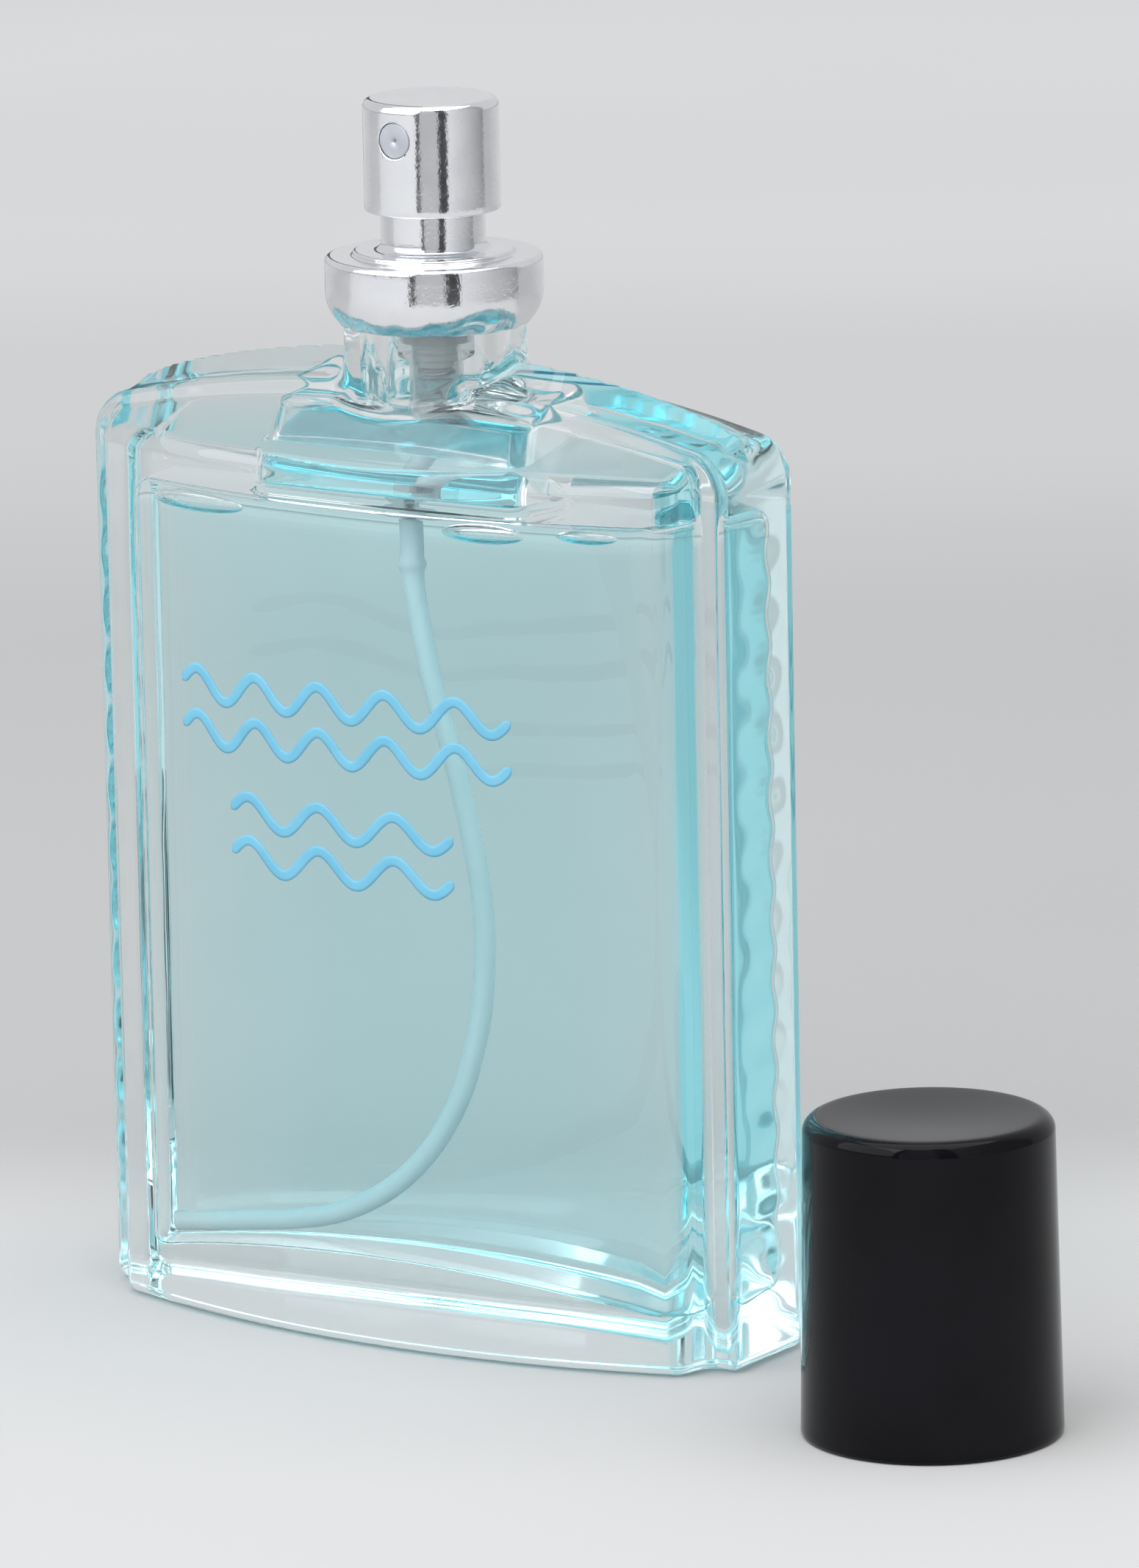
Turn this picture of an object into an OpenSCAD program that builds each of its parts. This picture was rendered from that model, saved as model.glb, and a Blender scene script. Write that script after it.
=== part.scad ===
// Flask-shaped glass perfume bottle with a crimped fine-mist pump and a loose slip-on cap.
// Millimetres. The origin is the centre of the flat base, the bottle's front faces -Y, +Z is up.

/* [Glass body] */
// Width across the two narrow side faces
body_w = 75.5; // [66:0.5:90]
// Depth of the slab between the panels, which is a narrow side face
side_d = 13; // [9:0.1:18]
// Width of the raised front and back panels, along their side edges
panel_w = 67.6; // [60:0.2:70]
// How far a panel stands out from the slab at its side edges
panel_rise = 3.8; // [1:0.1:5]
// How much wider a panel is at its root, on each side
draft = 0.85; // [0:0.05:1.5]
// How far the front and the back bow outwards
bow = 5.7; // [3:0.1:9]
// Height of the panels' straight top edge
panel_h = 89.2; // [70:0.2:91]
// Height of the slab's edge over the panels, along the arched top
ledge_h = 1.4; // [1:0.1:3]
// Height of the arched top where the neck stands
crown_h = 96; // [94:0.5:100]
// Radius of the arched top
crown_arc = 150; // [120:5:300]
// Radius of the shoulder corners
corner_r = 3.5; // [2:0.5:6]
// Height of the bevelled heel under the body
heel = 1.2; // [0.5:0.1:2]

/* [Cavity] */
// Glass thickness of the front and back
front_wall = 3.7; // [2.5:0.1:6]
// Width of the cavity
cavity_w = 61.2; // [50:0.2:64]
// Height of the cavity's floor at its middle
floor_h = 8.4; // [6:0.2:12]
// How much lower the floor lies at the two ends
floor_drop = 3.6; // [1:0.1:4]
// Height of the cavity's roof
roof_h = 84.3; // [70:0.1:86]
// Width of the chamber under the neck
chamber_w = 30.4; // [20:0.2:40]
// Depth of the same chamber
chamber_d = 12.4; // [10:0.2:16]
// Height of its roof
chamber_h = 92.6; // [88:0.1:93]
// Height of the liquid's surface
fill_h = 85; // [40:0.5:86]

/* [Side pattern] */
// Round dimples up each side face
side_dimples = 13; // [1:1:13]
// Round dimples along each shoulder
shoulder_dimples = 4; // [1:1:4]
// Distance between neighbouring dimples
dimple_pitch = 6.1; // [5.8:0.1:6.4]
// Radius of a dimple
dimple_r = 3.4; // [2:0.1:4]
// Depth of a dimple
dimple_depth = 0.3; // [0.2:0.1:1.2]

/* [Neck] */
// Outer radius of the neck below its bead
neck_r = 9.05; // [8.8:0.05:9.08]
// Radius of the neck's bead, half of a 20 mm crimp finish
bead_r = 10; // [9.8:0.05:10.2]
// Bore radius of the neck
bore_r = 4.95; // [4.7:0.05:5.2]
// Height of the neck's sealing face
finish_h = 105.98; // [105.9:0.01:106]

/* [Pump] */
// Outer radius of the crimped collar
collar_r = 10.8; // [10.7:0.05:10.9]
// Outer radius of the turret on the collar
turret_r = 5.16; // [4.9:0.01:5.2]
// Outer radius of the actuator
actuator_r = 6.73; // [6.6:0.01:7.5]
// Height of the actuator's lower rim
actuator_low = 112.4; // [112.2:0.1:112.8]
// Height of the actuator's top face
actuator_top = 123.5; // [123.2:0.1:124.5]
// Height of the spray outlet
nozzle_h = 120; // [119.8:0.1:120.2]
// Radius of the nozzle insert
nozzle_r = 1.75; // [1.4:0.05:1.8]
// Radius of the pump's piston bore
barrel_r = 2.2; // [2.1:0.05:2.3]
// Radius of the hollow stem
stem_r = 1.3; // [1.2:0.05:1.35]
// Wire radius of the return spring
wire_r = 0.2; // [0.15:0.01:0.22]
// Outer radius of the dip tube
tube_r = 1.05; // [0.9:0.05:1.1]
// Inner radius of the dip tube
tube_bore = 0.65; // [0.5:0.05:0.7]

/* [Print] */
// Thickness of the printed colour
ink = 0.08; // [0.05:0.01:0.15]
// Width of a printed line
line_w = 1.1; // [0.6:0.1:1.5]
// Length of the upper pair of waves
upper_row = 40; // [30:1:44]
// Length of the lower pair of waves
lower_row = 27; // [20:1:34]

/* [Cap] */
// Where the loose cap stands beside the bottle, along X
cap_x = 64.9; // [54:0.1:90]
// Where it stands along Y
cap_y = -13.7; // [-40:0.1:10]
// Height of the cap
cap_h = 31.4; // [30:0.1:34]
// Outer radius at its rim
cap_rim_r = 12.76; // [12.6:0.02:13]
// Outer radius at its top
cap_top_r = 12.2; // [12.1:0.02:12.4]
// Radius of the liner's bore, which slides over the collar
liner_bore = 10.85; // [10.82:0.01:10.9]

/* [Hidden] */

fine = 200;          // segments of the large arcs in faceted shapes
round_fn = 96;       // segments of true round surfaces
gap = 0.02;          // clearance between pieces that touch
sheet = 0.4;         // thickness of the drawn aluminium

panel_edge = panel_w / 2;
panel_y = side_d / 2 + panel_rise;
front_y = panel_y + bow;
front_arc = (panel_edge * panel_edge + bow * bow) / (2 * bow);
arc_y = front_arc - front_y;
end_x = cavity_w / 2;
floor_arc = (end_x * end_x + floor_drop * floor_drop) / (2 * floor_drop);
cavity_corner = 2.5;
chamber_corner = 2;
dimple_ball = (dimple_r * dimple_r + dimple_depth * dimple_depth) / (2 * dimple_depth);
first_dimple_h = 8;
first_dimple_x = 14;

// Collar levels
collar_top = 107.9;
collar_low = 101.1;
crimp_start = 104.4;
step_top = 108.4;
turret_top = 113.5;
collar_hole = 1.9;

// Pump levels, from the inlet up
nipple_low = 77.4;
sleeve_top = 84;
chamber_low = 84.4;
seat_low = 84.9;
ball_r = 0.85;
ball_h = 85.62;
spring_low = 87.4;
spring_top = 96.9;
piston_low = 97.5;
piston_top = 99.35;
barrel_top = 99.4;
cup_low = 97.9;
flange_low = 106.9;
flange_top = 107.46;
stem_top = 119.2;
core_low = 117.4;

// Return spring
spring_r = 1.72;
open_turns = 5;
closed_pitch = 2 * wire_r + 0.02;
turn_steps = 16;

// Dip tube: centre line in the plane y = 0, as [x, z]
tube_route = [[0, 76.8], [0.7, 72], [2, 65.5], [4, 58.5], [5.8, 51], [6.9, 44], [7, 37.5],
              [6.2, 31], [4, 24], [0.6, 18.2], [-4, 13.6], [-9.5, 10.5], [-15, 9],
              [-20, 8.2], [-25, 7.4], [-29.5, 6.7]];
tube_sides = 12;
tube_steps = 3;

// ---- shared functions ----

function arc_points(centre, r, a0, a1, n) =
    [for (i = [0:n]) centre + r * [cos(a0 + (a1 - a0) * i / n), sin(a0 + (a1 - a0) * i / n)]];

function crown_z(x) = crown_h - crown_arc + sqrt(crown_arc * crown_arc - x * x);

// A point on the smooth curve through the route, between its points i and i + 1
function curve_point(p, i, t) =
    let (a = p[max(i - 1, 0)], b = p[i], c = p[i + 1], d = p[min(i + 2, len(p) - 1)])
    0.5 * (2 * b + (c - a) * t + (2 * a - 5 * b + 4 * c - d) * t * t
           + (3 * b - a - 3 * c + d) * t * t * t);

function curve(p, steps) =
    [for (i = [0:len(p) - 2]) for (k = [0:steps - 1]) curve_point(p, i, k / steps), p[len(p) - 1]];

function heading(p, i) =
    let (d = p[min(i + 1, len(p) - 1)] - p[max(i - 1, 0)]) d / norm(d);

// Ring of points round a centre line that lies in the plane y = 0
function ring(p, i, r) =
    let (d = heading(p, i))
    [for (k = [0:tube_sides - 1]) let (a = 360 * k / tube_sides)
        [p[i][0] - d[1] * r * cos(a), r * sin(a), p[i][1] + d[0] * r * cos(a)]];

function skin(rings, sides, first, flip) =
    [for (i = [0:rings - 2]) for (k = [0:sides - 1])
        let (a = first + i * sides + k, b = first + i * sides + (k + 1) % sides,
             c = b + sides, d = a + sides)
        flip ? [d, c, b, a] : [a, b, c, d]];

// ---- glass ----

module plan_outline(inset, wall) {
    intersection() {
        translate([0, arc_y]) circle(r = front_arc - wall, $fn = fine);
        translate([0, -arc_y]) circle(r = front_arc - wall, $fn = fine);
        offset(delta = -inset) polygon([
            [panel_edge + draft, -side_d / 2], [panel_edge + draft, side_d / 2],
            [panel_edge, panel_y], [0, 2 * front_y], [-panel_edge, panel_y],
            [-panel_edge - draft, side_d / 2], [-panel_edge - draft, -side_d / 2],
            [-panel_edge, -panel_y], [0, -2 * front_y], [panel_edge, -panel_y]]);
    }
}

// Outline of the slab as seen from the front
module slab_outline(inset, low) {
    offset(r = corner_r) offset(delta = -corner_r) intersection() {
        translate([-body_w / 2 + inset, low]) square([body_w - 2 * inset, 2 * crown_h]);
        translate([0, crown_h - crown_arc]) circle(r = crown_arc - inset, $fn = 2 * fine);
    }
}

module across(depth) {
    rotate([90, 0, 0]) linear_extrude(depth, center = true) children();
}

module outer_body() {
    // the bowed panels and the slopes that rise from them to the slab
    hull() {
        linear_extrude(heel) plan_outline(heel, heel);
        translate([0, 0, heel]) linear_extrude(panel_h - heel) plan_outline(0, 0);
        across(side_d) intersection() {
            slab_outline(ledge_h, panel_h / 2);
            square([panel_w + 2 * draft, 4 * crown_h], center = true);
        }
    }
    // the slab, which the panels leave bare along both sides and the top
    hull() {
        linear_extrude(heel) square([body_w - 2 * heel, side_d - 2 * heel], center = true);
        translate([0, 0, heel]) linear_extrude(panel_h / 2) square([body_w, side_d], center = true);
        across(side_d) slab_outline(0, panel_h / 2);
    }
}

module rounded_prism(h, r) {
    linear_extrude(h) offset(r = r) offset(delta = -r) children();
}

module cavity(clear) {
    difference() {
        rounded_prism(roof_h - clear, cavity_corner) offset(delta = -clear) intersection() {
            plan_outline(0, front_wall);
            square([cavity_w, 2 * front_y], center = true);
        }
        translate([0, 0, floor_h + clear - floor_arc]) rotate([90, 0, 0])
            cylinder(r = floor_arc, h = 3 * front_y, center = true, $fn = fine);
    }
    // the chamber under the neck
    translate([0, 0, roof_h / 2]) rounded_prism(chamber_h - roof_h / 2 - clear, chamber_corner)
        square([chamber_w - 2 * clear, chamber_d - 2 * clear], center = true);
}

module dimples() {
    for (side = [-1, 1]) {
        for (i = [0:side_dimples - 1])
            translate([side * (body_w / 2 - dimple_depth + dimple_ball), 0,
                       first_dimple_h + i * dimple_pitch])
                sphere(r = dimple_ball, $fn = round_fn);
        for (i = [0:shoulder_dimples - 1])
            let (x = first_dimple_x + i * dimple_pitch)
            translate([side * x, 0, crown_z(x) - dimple_depth + dimple_ball])
                sphere(r = dimple_ball, $fn = round_fn);
    }
}

module neck_finish() {
    rotate_extrude($fn = round_fn) polygon(concat(
        [[0, crown_h - 6], [neck_r + 1.5, crown_h - 3]],
        arc_points([neck_r + 1.5, crown_h + 1.2], 1.5, 270, 180, 6),
        [[neck_r, 101.9], [bead_r, 103.4], [bead_r, 105.4],
         [bead_r - 0.6, finish_h], [0, finish_h]]));
}

module glass_bottle() {
    color([0.72, 0.9, 0.92, 0.35]) difference() {
        union() {
            outer_body();
            neck_finish();
        }
        cavity(0);
        translate([0, 0, fill_h]) cylinder(r = bore_r, h = 40, $fn = round_fn);
        dimples();
    }
}

module fragrance_liquid() {
    color([0.62, 0.86, 0.9, 0.6]) difference() {
        intersection() {
            cavity(gap);
            translate([0, 0, fill_h / 2]) cube([body_w, 2 * front_y, fill_h], center = true);
        }
        tube_sweep(tube_r + gap, 0);
        tube_sleeve(gap, false);
        translate([0, 0, chamber_low - gap]) cylinder(r = barrel_r + 0.5 + gap, h = 5, $fn = round_fn);
    }
}

// ---- printed waves ----

module wave(length, waves, height, z) {
    steps = 14 * waves;
    half = line_w / 2;
    function mid(i) = [length * (i / steps - 0.5), z + height * sin(360 * waves * i / steps)];
    function side_step(i) =
        let (d = mid(i + 0.1) - mid(i - 0.1)) half * [-d[1], d[0]] / norm(d);
    across(2 * front_arc) polygon(concat(
        [for (i = [0:steps]) mid(i) + side_step(i)],
        [for (i = [steps:-1:0]) mid(i) - side_step(i)]));
}

module front_print() {
    row_x = -2.2;
    color([0.45, 0.78, 0.95]) intersection() {
        translate([0, arc_y, 0]) difference() {
            cylinder(r = front_arc + ink, h = panel_h, $fn = fine);
            translate([0, 0, -1]) cylinder(r = front_arc, h = panel_h + 2, $fn = fine);
        }
        translate([0, -front_y, panel_h / 2]) cube([body_w, front_y, panel_h], center = true);
        translate([row_x, 0, 0]) {
            wave(upper_row, 5, 1.5, 65.2);
            wave(upper_row, 5, 1.5, 60.6);
            wave(lower_row, 3, 1.5, 53);
            wave(lower_row, 3, 1.5, 48.6);
        }
    }
}

// ---- collar and seals ----

module crimp_ferrule() {
    flutes = 16;
    color([0.82, 0.83, 0.85]) difference() {
        rotate_extrude($fn = round_fn) polygon(concat(
            [[collar_hole, turret_top]],
            arc_points([turret_r - 0.6, turret_top - 0.6], 0.6, 90, 0, 5),
            arc_points([turret_r + 0.9, step_top + 0.9], 0.9, 180, 270, 5),
            [[7.7, step_top], [8.0, step_top - 0.2], [8.0, collar_top]],
            arc_points([collar_r - 0.6, collar_top - 0.6], 0.6, 90, 0, 5),
            [[collar_r, crimp_start], [10.67, 103.3], [10.28, 102.3], [9.75, 101.55],
             [9.35, collar_low], [9.12, 101.4], [9.45, 101.8], [9.93, 102.5], [10.28, 103.4],
             [collar_r - sheet, crimp_start], [collar_r - sheet, 107.1], [10, 107.5],
             [turret_r + 0.5, 107.5], [turret_r - sheet, 108.4],
             [turret_r - sheet, turret_top - sheet], [collar_hole, turret_top - sheet]]));
        for (k = [0:flutes - 1])
            rotate([0, 0, 360 * (k + 0.5) / flutes]) translate([9.95, 0, 100.9])
                sphere(r = 0.75, $fn = 24);
    }
}

module neck_gasket() {
    color([0.9, 0.9, 0.88]) translate([0, 0, finish_h + gap]) difference() {
        cylinder(r = 9.7, h = flange_low - finish_h - 2 * gap, $fn = round_fn);
        translate([0, 0, -1]) cylinder(r = 5, h = 4, $fn = round_fn);
    }
}

// ---- pump inside the neck ----

module pump_housing() {
    chamber_r = barrel_r + 0.5;
    cup_r = 3.8;
    cup_bore = 3.2;
    nubs = 3;
    color([0.88, 0.93, 0.94, 0.6]) {
        rotate_extrude($fn = round_fn) polygon([
            [0.5, nipple_low], [0.8, nipple_low], [1.1, nipple_low + 0.7], [0.85, nipple_low + 0.8],
            [0.85, chamber_low], [chamber_r - 0.5, chamber_low], [chamber_r, chamber_low + 0.6],
            [chamber_r, cup_low - 0.4], [cup_r - 0.3, cup_low], [cup_r, cup_low + 0.3],
            [cup_r, flange_low], [9.2, flange_low], [9.2, flange_top], [cup_bore, flange_top],
            [cup_bore, barrel_top], [barrel_r, barrel_top], [barrel_r, spring_low],
            [1.25, spring_low], [1.25, seat_low + 0.7], [0.5, seat_low]]);
        // nubs that keep the ball in its seat
        for (k = [0:nubs - 1])
            rotate([0, 0, 360 * k / nubs]) translate([0.6, -0.15, spring_low - 0.3])
                cube([0.8, 0.3, 0.3]);
    }
}

module stem_guide() {
    color([0.93, 0.93, 0.92]) rotate_extrude($fn = round_fn) polygon([
        [stem_r + 0.06, barrel_top + gap], [3.18, barrel_top + gap], [3.18, flange_top + gap],
        [turret_r - sheet - 0.1, 108.5], [turret_r - sheet - 0.1, 112.35], [stem_r + 0.06, 112.35]]);
}

module stem_seal() {
    color([0.3, 0.3, 0.32]) translate([0, 0, 112.37]) difference() {
        cylinder(r = 4.6, h = 0.7, $fn = round_fn);
        translate([0, 0, -1]) cylinder(r = stem_r + 0.04, h = 3, $fn = round_fn);
    }
}

module pump_stem() {
    stem_bore = 0.5;
    color([0.95, 0.95, 0.94]) difference() {
        union() {
            translate([0, 0, spring_top]) cylinder(r = 1.75, h = piston_low - spring_top, $fn = round_fn);
            translate([0, 0, spring_top]) cylinder(r = stem_r, h = stem_top - spring_top, $fn = round_fn);
        }
        translate([0, 0, piston_low + 0.4]) cylinder(r = stem_bore, h = stem_top, $fn = round_fn);
        translate([0, 0, piston_low + 0.8]) rotate([90, 0, 0])
            cylinder(r = 0.3, h = 4, center = true, $fn = 24);
    }
}

module pump_piston() {
    color([0.85, 0.87, 0.88]) rotate_extrude($fn = round_fn) polygon([
        [stem_r + 0.01, piston_low + 0.01], [1.9, piston_low + 0.01], [barrel_r - 0.03, piston_low + 0.3],
        [barrel_r - 0.03, piston_low + 0.7], [1.95, piston_low + 0.9], [1.95, piston_low + 1.2],
        [barrel_r - 0.03, piston_low + 1.4], [barrel_r - 0.03, piston_top], [stem_r + 0.01, piston_top]]);
}

// A wire coil with a closed turn at each end and open turns between
module return_spring() {
    turns = open_turns + 2;
    rings = turns * turn_steps + 1;
    sides = 8;
    length = spring_top - spring_low - 2 * wire_r - 0.04;
    open_pitch = (length - 2 * closed_pitch) / open_turns;
    function rise(t) = t < 1 ? t * closed_pitch
        : t > turns - 1 ? length - (turns - t) * closed_pitch
        : closed_pitch + (t - 1) * open_pitch;
    color([0.7, 0.71, 0.73]) polyhedron(
        points = [for (i = [0:rings - 1]) for (k = [0:sides - 1])
            let (t = i / turn_steps, a = 360 * t, b = 360 * k / sides, r = spring_r + wire_r * cos(b))
            [r * cos(a), r * sin(a), spring_low + 0.02 + wire_r + rise(t) + wire_r * sin(b)]],
        faces = concat(skin(rings, sides, 0, false),
            [[for (k = [sides - 1:-1:0]) k]],
            [[for (k = [0:sides - 1]) (rings - 1) * sides + k]]));
}

module inlet_ball() {
    color([0.75, 0.76, 0.78]) translate([0, 0, ball_h]) sphere(r = ball_r, $fn = round_fn);
}

// ---- dip tube ----

// The tube below the housing's nipple, solid when its bore is 0
module tube_sweep(outer, bore) {
    line = curve(tube_route, tube_steps);
    rings = len(line);
    count = rings * tube_sides;
    last = (rings - 1) * tube_sides;
    outside = [for (i = [0:rings - 1]) each ring(line, i, outer)];
    inside = bore > 0 ? [for (i = [0:rings - 1]) each ring(line, i, bore)] : [];
    ends = bore > 0
        ? [for (k = [0:tube_sides - 1]) let (n = (k + 1) % tube_sides) each [
            [k, count + k, count + n, n],
            [last + k, last + n, count + last + n, count + last + k]]]
        : [[for (k = [tube_sides - 1:-1:0]) k], [for (k = [0:tube_sides - 1]) last + k]];
    polyhedron(
        points = concat(outside, inside),
        faces = concat(skin(rings, tube_sides, 0, false), ends,
            bore > 0 ? skin(rings, tube_sides, count, true) : []));
}

// The end of the tube that is stretched over the nipple and its barb, or the hole that it needs
module tube_sleeve(clear, bored) {
    skirt_low = 76.2;
    top = bored ? sleeve_top : chamber_low;
    outer = tube_r + 0.03 + clear;
    inner = tube_bore - 0.03;
    rotate_extrude($fn = round_fn) polygon(concat(
        [[outer, skirt_low - clear], [outer, 76.95], [1.5 + clear, 77.5], [1.5 + clear, 77.9],
         [1.2 + clear, 78.6], [1.2 + clear, top]],
        bored ? [[0.88, top], [0.88, 78.4], [1.13, 78.2], [1.13, 77.35], [inner, 76.95],
                 [inner, skirt_low]]
            : [[0, top], [0, skirt_low - clear]]));
}

module dip_tube() {
    color([0.8, 0.92, 0.95, 0.6]) {
        tube_sweep(tube_r, tube_bore);
        tube_sleeve(0, true);
    }
}

// ---- actuator ----

module actuator_shell() {
    inner_r = actuator_r - sheet;
    color([0.84, 0.85, 0.87]) difference() {
        rotate_extrude($fn = round_fn) polygon(concat(
            [[0, actuator_top]],
            arc_points([actuator_r - 0.9, actuator_top - 0.9], 0.9, 90, 0, 8),
            [[actuator_r, actuator_low], [inner_r, actuator_low],
             [inner_r, actuator_top - sheet - 0.5], [inner_r - 0.5, actuator_top - sheet],
             [0, actuator_top - sheet]]));
        translate([0, 0, nozzle_h]) rotate([90, 0, 0]) cylinder(r = nozzle_r + 0.15, h = 9, $fn = 48);
    }
}

module actuator_core() {
    outer_r = actuator_r - sheet - 0.03;
    skirt_bore = turret_r + 0.34;
    roof = actuator_top - sheet - 0.03;
    color([0.9, 0.9, 0.89]) difference() {
        rotate_extrude($fn = round_fn) polygon([
            [0, roof], [outer_r - 0.55, roof], [outer_r, roof - 0.55], [outer_r, actuator_low + 0.2],
            [skirt_bore, actuator_low + 0.2], [skirt_bore, core_low], [0, core_low]]);
        translate([0, 0, core_low - 1]) cylinder(r = stem_r + 0.03, h = stem_top + 1.02 - core_low, $fn = 48);
        translate([0, 0, stem_top - 1]) cylinder(r = 0.4, h = nozzle_h - stem_top + 1, $fn = 24);
        translate([0, 0, nozzle_h]) rotate([90, 0, 0]) cylinder(r = 0.4, h = 5, $fn = 24);
        translate([0, -4.2, nozzle_h]) rotate([90, 0, 0]) cylinder(r = nozzle_r + gap, h = 4, $fn = 48);
    }
}

module nozzle_insert() {
    face_y = actuator_r - 0.25;
    color([0.8, 0.81, 0.83]) translate([0, 0, nozzle_h]) rotate([90, 0, 0]) difference() {
        translate([0, 0, 4.2 + gap]) cylinder(r = nozzle_r, h = face_y - 4.2 - gap, $fn = 48);
        cylinder(r = 0.9, h = 5.4, $fn = 24);
        cylinder(r = 0.15, h = 9, $fn = 16);
    }
}

// ---- cap ----

module cap_shell() {
    bore = 11.5;
    edge = 1.5;
    color([0.06, 0.06, 0.07]) translate([cap_x, cap_y, 0]) rotate_extrude($fn = round_fn)
        polygon(concat(
            [[bore, 0.3], [bore + 0.3, 0], [cap_rim_r - 0.3, 0], [cap_rim_r, 0.3]],
            arc_points([cap_top_r - edge, cap_h - edge], edge, 0, 90, 8),
            [[8, cap_h - 0.15], [4, cap_h - 0.3], [0, cap_h - 0.35], [0, cap_h - 2.3],
             [bore, cap_h - 2.3]]));
}

module cap_liner() {
    outer_r = 11.25;
    ribs = 12;
    roof = cap_h - 2.33;
    color([0.12, 0.12, 0.13]) translate([cap_x, cap_y, 0]) {
        rotate_extrude($fn = round_fn) polygon([
            [liner_bore + 0.2, 0.6], [outer_r, 0.6], [outer_r, roof], [0, roof],
            [0, roof - 0.8], [liner_bore, roof - 0.8], [liner_bore, 1.1]]);
        for (k = [0:ribs - 1])
            rotate([0, 0, 360 * k / ribs]) translate([outer_r - 0.15, -0.4, 0.6])
                cube([0.36, 0.8, roof - 0.6]);
    }
}

glass_bottle();
fragrance_liquid();
front_print();
crimp_ferrule();
neck_gasket();
pump_housing();
stem_guide();
stem_seal();
pump_stem();
pump_piston();
return_spring();
inlet_ball();
dip_tube();
actuator_shell();
actuator_core();
nozzle_insert();
cap_shell();
cap_liner();
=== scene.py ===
import math

import bmesh
import bpy
import numpy as np
from mathutils import Matrix, Vector


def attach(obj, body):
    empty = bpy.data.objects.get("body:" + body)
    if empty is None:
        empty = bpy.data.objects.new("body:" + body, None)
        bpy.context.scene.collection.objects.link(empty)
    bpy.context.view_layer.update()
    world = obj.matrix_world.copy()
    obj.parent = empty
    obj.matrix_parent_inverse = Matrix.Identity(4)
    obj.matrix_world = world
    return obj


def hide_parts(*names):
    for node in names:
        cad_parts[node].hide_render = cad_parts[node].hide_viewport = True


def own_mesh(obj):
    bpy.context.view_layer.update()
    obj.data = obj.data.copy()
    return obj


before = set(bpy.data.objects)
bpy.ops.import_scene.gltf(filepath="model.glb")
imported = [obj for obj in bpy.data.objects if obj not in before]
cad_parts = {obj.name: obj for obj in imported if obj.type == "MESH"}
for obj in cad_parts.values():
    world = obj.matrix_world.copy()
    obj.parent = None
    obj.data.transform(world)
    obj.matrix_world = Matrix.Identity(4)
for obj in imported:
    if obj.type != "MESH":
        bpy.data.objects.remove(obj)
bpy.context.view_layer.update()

MM = 0.001

# ---------------------------------------------------------------- sizes, in millimetres

# Outer glass: a slab between two raised, bowed panels
HALF_W = 37.75            # half width of the slab
SIDE_Y = 6.5              # its half depth, which is half of a narrow side face
PANEL_X, PANEL_Y = 33.8, 10.3     # the upright edge of a panel's face
PANEL_ROOT = 34.65        # half width of a panel where it meets the slab
FRONT_Y = 16.0            # how far the bowed front stands out
FRONT_R = (PANEL_X ** 2 + (FRONT_Y - PANEL_Y) ** 2) / (2 * (FRONT_Y - PANEL_Y))
ARC_Y = FRONT_R - FRONT_Y
PANEL_H = 89.2            # straight top edge of the panels
LEDGE_H = 1.4             # how far the slab's edge shows over the panels
CROWN_H, CROWN_R = 96.0, 150.0    # the arched top
CORNER_R = 3.5
HEEL_R = 1.6
SLAB_EDGE_R, PANEL_EDGE_R, STEP_R = 1.1, 1.3, 0.8     # how round the pressed edges are

# Cavity
WALL = 3.7
CAVITY_X = 30.6
CAVITY_R = 2.6
FLOOR_H, FLOOR_DROP = 8.4, 3.6
FLOOR_R = (CAVITY_X ** 2 + FLOOR_DROP ** 2) / (2 * FLOOR_DROP)
ROOF_H = 84.3
CHAMBER_X, CHAMBER_Y, CHAMBER_H = 15.2, 6.2, 92.6     # the narrower chamber under the neck
BORE_R = 4.95
FILL_H = 85.0
MENISCUS = 0.45
MENISCUS_STEPS = ((0.15, 0.18), (0.2, 0.12), (0.35, 0.09), (0.6, 0.06))    # inwards and down from the wall

# Dimples in the side faces and the shoulders
DIMPLE_Y, DIMPLE_PITCH = 5.2, 6.1
SIDE_DIMPLES, SIDE_FIRST, SIDE_DEPTH = 13, 8.0, 0.28
SHOULDER_DIMPLES, SHOULDER_FIRST, SHOULDER_DEPTH = 4, 14.0, 0.55

# Neck finish
NECK_R, BEAD_R, FINISH_H = 9.05, 10.0, 105.98


# ---------------------------------------------------------------- shapes as distance fields

def round_and(a, b, r):
    """What lies in both shapes, with the edge between them rounded to radius r."""
    return np.minimum(-r, np.maximum(a, b)) + np.hypot(np.maximum(a + r, 0), np.maximum(b + r, 0))


def round_or(a, b, r):
    """What lies in either shape, with a fillet of radius r between them."""
    return np.maximum(r, np.minimum(a, b)) - np.hypot(np.maximum(r - a, 0), np.maximum(r - b, 0))


def crown_z(x):
    return CROWN_H - CROWN_R + np.sqrt(CROWN_R ** 2 - x ** 2)


def sloped(ay, z, y0, z0, y1, z1):
    """Distance above the line from (y0, z0) down at the panel to (y1, z1) up at the crown."""
    run, rise = y0 - y1, z1 - z0
    return ((ay - y1) * rise + (z - z1) * run) / np.hypot(rise, run)


def dip(along, y, first, count, depth):
    """How deep the row of dimples is at a place along the row and y across it."""
    step = (along - first) / DIMPLE_PITCH
    wave = np.where((step > -0.5) & (step < count - 0.5), 0.5 + 0.5 * np.cos(2 * np.pi * step), 0)
    return depth * wave * np.cos(np.pi / 2 * np.clip(y / DIMPLE_Y, -1, 1)) ** 2


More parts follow.
